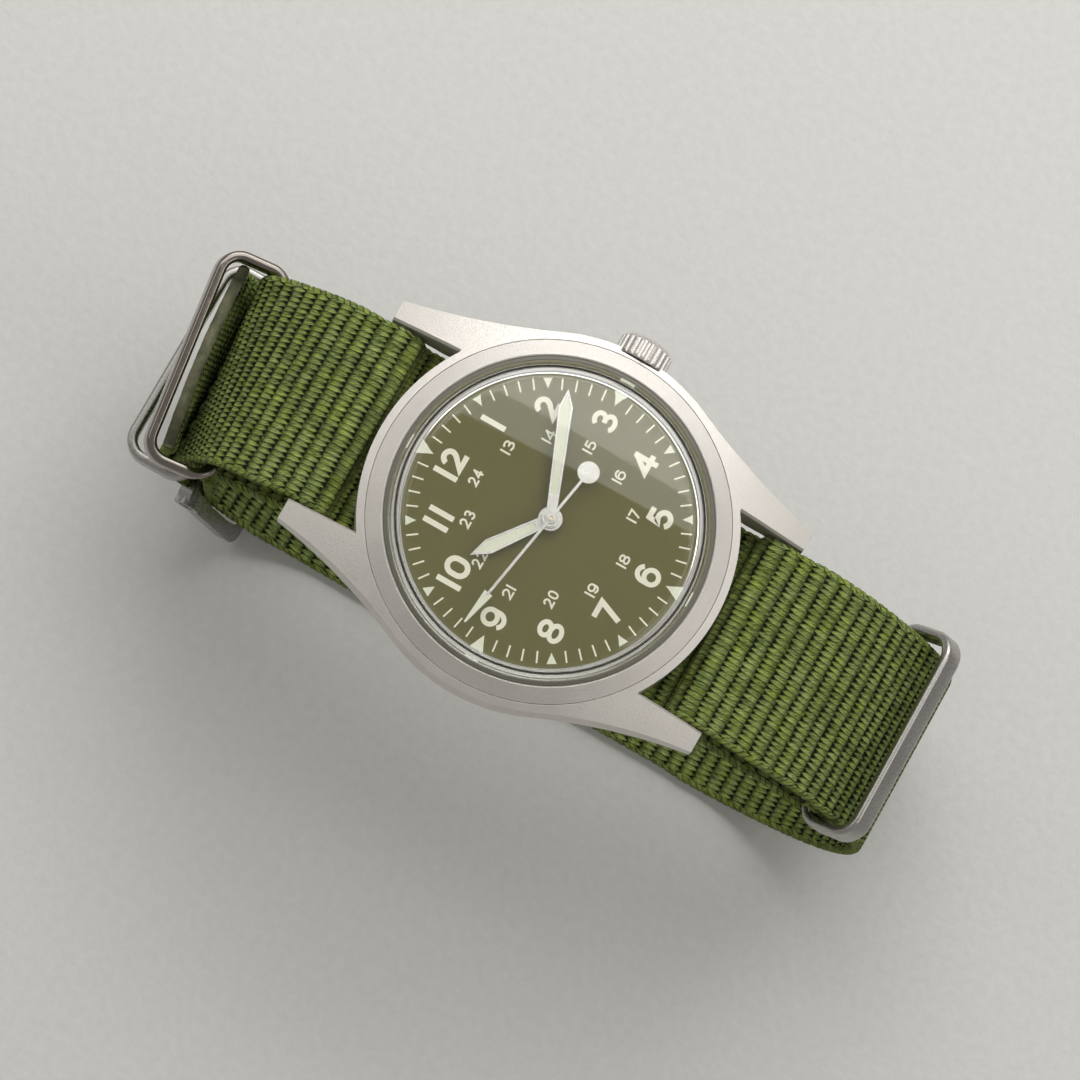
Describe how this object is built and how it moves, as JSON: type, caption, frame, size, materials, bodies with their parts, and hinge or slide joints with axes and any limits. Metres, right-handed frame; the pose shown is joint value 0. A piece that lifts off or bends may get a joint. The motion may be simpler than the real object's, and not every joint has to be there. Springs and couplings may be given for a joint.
{
  "type": "field watch",
  "caption": "Hand-wound field watch with a satin case, matt dial, domed crystal and a two-layer webbing strap with keepers and tongue buckle.",
  "frame": {"origin": "on the flat underside of the closed strap, below the centre of the dial", "axes": "+X towards three o'clock and the crown, +Y towards twelve o'clock, +Z out of the dial"},
  "size_m": [0.0402, 0.088, 0.0493],
  "materials": {
    "satin_steel": "fine satin",
    "polished_steel": "polished steel",
    "gilt_brass": "fine turned",
    "plated_brass": "frosted plating",
    "blued_steel": "blued, polished",
    "ruby": "polished",
    "crystal": "clear, polished",
    "clear_gasket": "smooth",
    "holder_plastic": "moulded",
    "rubber_ring": "smooth",
    "dial_paint": "matt olive",
    "lume": "matt luminous paint",
    "webbing": "woven, ribbed",
    "thread": "sewn"
  },
  "bodies": {
    "watch": {"case_middle": "satin_steel", "bezel": "satin_steel", "crystal": "crystal", "crystal_gasket": "clear_gasket", "dial_ring": "polished_steel", "dial": "dial_paint", "hour_markers": "lume", "crown_tube": "polished_steel", "case_back": "satin_steel", "back_gasket": "rubber_ring", "movement_holder": "holder_plastic", "main_plate": "plated_brass", "barrel_bridge": "plated_brass", "train_bridge": "plated_brass", "balance_cock": "plated_brass", "pallet_bridge": "plated_brass", "movement_screws": "blued_steel", "jewels": "ruby", "hairspring": "blued_steel", "spring_bar_12": "polished_steel", "spring_bar_6": "polished_steel", "strap_long": "webbing", "strap_short": "webbing", "strap_stitching": "thread"},
    "seconds": {"fourth_wheel": "gilt_brass", "seconds_hand": "polished_steel", "seconds_hand_lume": "lume"},
    "minutes": {"centre_wheel": "gilt_brass", "cannon_pinion": "polished_steel", "minute_hand": "polished_steel", "minute_hand_lume": "lume"},
    "hours": {"hour_wheel": "gilt_brass", "hour_hand": "polished_steel", "hour_hand_lume": "lume"},
    "minute work": {"minute_wheel": "gilt_brass"},
    "third": {"third_wheel": "gilt_brass"},
    "escape": {"escape_wheel": "polished_steel"},
    "barrel drum": {"barrel": "gilt_brass", "mainspring": "polished_steel"},
    "ratchet": {"barrel_arbor": "polished_steel", "ratchet_wheel": "polished_steel"},
    "crown transfer": {"crown_wheel": "polished_steel"},
    "click lever": {"click": "polished_steel"},
    "fork": {"pallet_fork": "polished_steel"},
    "balance": {"balance_wheel": "gilt_brass"},
    "crown seal": {"crown_gasket": "rubber_ring"},
    "crown and stem": {"crown": "satin_steel", "winding_stem": "polished_steel"},
    "winding": {"winding_pinion": "polished_steel"},
    "clutch": {"sliding_clutch": "polished_steel"},
    "tip 12 right": {"spring_bar_tip_12_right": "polished_steel"},
    "tip 12 left": {"spring_bar_tip_12_left": "polished_steel"},
    "tip 6 right": {"spring_bar_tip_6_right": "polished_steel"},
    "tip 6 left": {"spring_bar_tip_6_left": "polished_steel"},
    "keeper twelve": {"keeper_12": "polished_steel"},
    "keeper six": {"keeper_6": "polished_steel"},
    "keeper middle": {"keeper_buckle": "polished_steel"},
    "buckle": {"buckle_frame": "polished_steel", "buckle_bar": "polished_steel"},
    "tongue": {"buckle_tongue": "polished_steel"}
  },
  "joints": [
    {"name": "seconds_turn", "type": "hinge", "parent": "watch", "child": "seconds", "pos_m": [0, 0, 0.046], "axis": [0, 0, -1], "continuous": true},
    {"name": "minute_turn", "type": "hinge", "parent": "watch", "child": "minutes", "pos_m": [0, 0, 0.046], "axis": [0, 0, -1], "continuous": true},
    {"name": "hour_turn", "type": "hinge", "parent": "watch", "child": "hours", "pos_m": [0, 0, 0.046], "axis": [0, 0, -1], "continuous": true},
    {"name": "minute_wheel_turn", "type": "hinge", "parent": "watch", "child": "minute work", "pos_m": [0.00248, 0.00174, 0.046], "axis": [0, 0, -1], "continuous": true},
    {"name": "third_turn", "type": "hinge", "parent": "watch", "child": "third", "pos_m": [-0.00409, -0.00072, 0.046], "axis": [0, 0, -1], "continuous": true},
    {"name": "escape_turn", "type": "hinge", "parent": "watch", "child": "escape", "pos_m": [0.001, -0.00374, 0.046], "axis": [0, 0, -1], "continuous": true},
    {"name": "barrel_turn", "type": "hinge", "parent": "watch", "child": "barrel drum", "pos_m": [0.00313, 0.00541, 0.046], "axis": [0, 0, -1], "continuous": true},
    {"name": "fork_rock", "type": "hinge", "parent": "watch", "child": "fork", "pos_m": [-0.00001, -0.00651, 0.046], "axis": [0, 0, -1], "range_deg": [-4, 4]},
    {"name": "balance_swing", "type": "hinge", "parent": "watch", "child": "balance", "pos_m": [-0.00292, -0.00721, 0.046], "axis": [0, 0, -1], "range_deg": [-270, 270]},
    {"name": "crown_pull", "type": "slide", "parent": "watch", "child": "crown seal", "axis": [1, 0, 0], "range_m": [0, 0.0012]},
    {"name": "crown_turn", "type": "hinge", "parent": "crown seal", "child": "crown and stem", "pos_m": [0.01, 0, 0.0434], "axis": [1, 0, 0], "continuous": true},
    {"name": "winding_pinion_turn", "type": "hinge", "parent": "watch", "child": "winding", "pos_m": [0.01, 0, 0.0434], "axis": [1, 0, 0], "continuous": true},
    {"name": "clutch_slide", "type": "slide", "parent": "crown and stem", "child": "clutch", "axis": [1, 0, 0], "range_m": [-0.0017, 0]},
    {"name": "crown_wheel_turn", "type": "hinge", "parent": "watch", "child": "crown transfer", "pos_m": [0.00825, 0.00302, 0.046], "axis": [0, 0, 1], "continuous": true},
    {"name": "ratchet_turn", "type": "hinge", "parent": "watch", "child": "ratchet", "pos_m": [0.00313, 0.00541, 0.046], "axis": [0, 0, 1], "continuous": true},
    {"name": "click_lift", "type": "hinge", "parent": "watch", "child": "click lever", "pos_m": [0.00428, 0.00971, 0.046], "axis": [0, 0, 1], "range_deg": [0, 6]},
    {"name": "tip_12_right_press", "type": "slide", "parent": "watch", "child": "tip 12 right", "axis": [-1, 0, 0], "range_m": [0, 0.0011]},
    {"name": "tip_12_left_press", "type": "slide", "parent": "watch", "child": "tip 12 left", "axis": [1, 0, 0], "range_m": [0, 0.0011]},
    {"name": "tip_6_right_press", "type": "slide", "parent": "watch", "child": "tip 6 right", "axis": [-1, 0, 0], "range_m": [0, 0.0011]},
    {"name": "tip_6_left_press", "type": "slide", "parent": "watch", "child": "tip 6 left", "axis": [1, 0, 0], "range_m": [0, 0.0011]},
    {"name": "keeper_12_rock", "type": "hinge", "parent": "watch", "child": "keeper twelve", "pos_m": [0, 0.03393, 0.03007], "axis": [0.9903, 0.1356, 0.0313], "range_deg": [-4, 3]},
    {"name": "keeper_6_rock", "type": "hinge", "parent": "watch", "child": "keeper six", "pos_m": [0, -0.03764, 0.03041], "axis": [1, 0, 0], "range_deg": [-4, 4]},
    {"name": "keeper_buckle_rock", "type": "hinge", "parent": "watch", "child": "keeper middle", "pos_m": [0, 0.03515, 0.02], "axis": [1, 0, 0], "range_deg": [-4, 4]},
    {"name": "buckle_swing", "type": "hinge", "parent": "watch", "child": "buckle", "pos_m": [0, 0.03438, 0.01184], "axis": [1, 0, 0], "range_deg": [0, 4]},
    {"name": "tongue_lift", "type": "hinge", "parent": "buckle", "child": "tongue", "pos_m": [0, 0.03438, 0.01184], "axis": [1, 0, 0], "range_deg": [0, 3]}
  ],
  "couplings": [
    {"joint": "minute_turn", "follows": "seconds_turn", "ratio": 0.016667},
    {"joint": "hour_turn", "follows": "seconds_turn", "ratio": 0.0013889},
    {"joint": "minute_wheel_turn", "follows": "seconds_turn", "ratio": -0.0055556},
    {"joint": "third_turn", "follows": "seconds_turn", "ratio": -0.13333},
    {"joint": "escape_turn", "follows": "seconds_turn", "ratio": -12},
    {"joint": "barrel_turn", "follows": "seconds_turn", "ratio": -0.002381},
    {"joint": "winding_pinion_turn", "follows": "crown_turn", "ratio": 1},
    {"joint": "crown_wheel_turn", "follows": "crown_turn", "ratio": 0.63636},
    {"joint": "ratchet_turn", "follows": "crown_turn", "ratio": -0.38889},
    {"joint": "clutch_slide", "follows": "crown_pull", "ratio": -1.4}
  ]
}
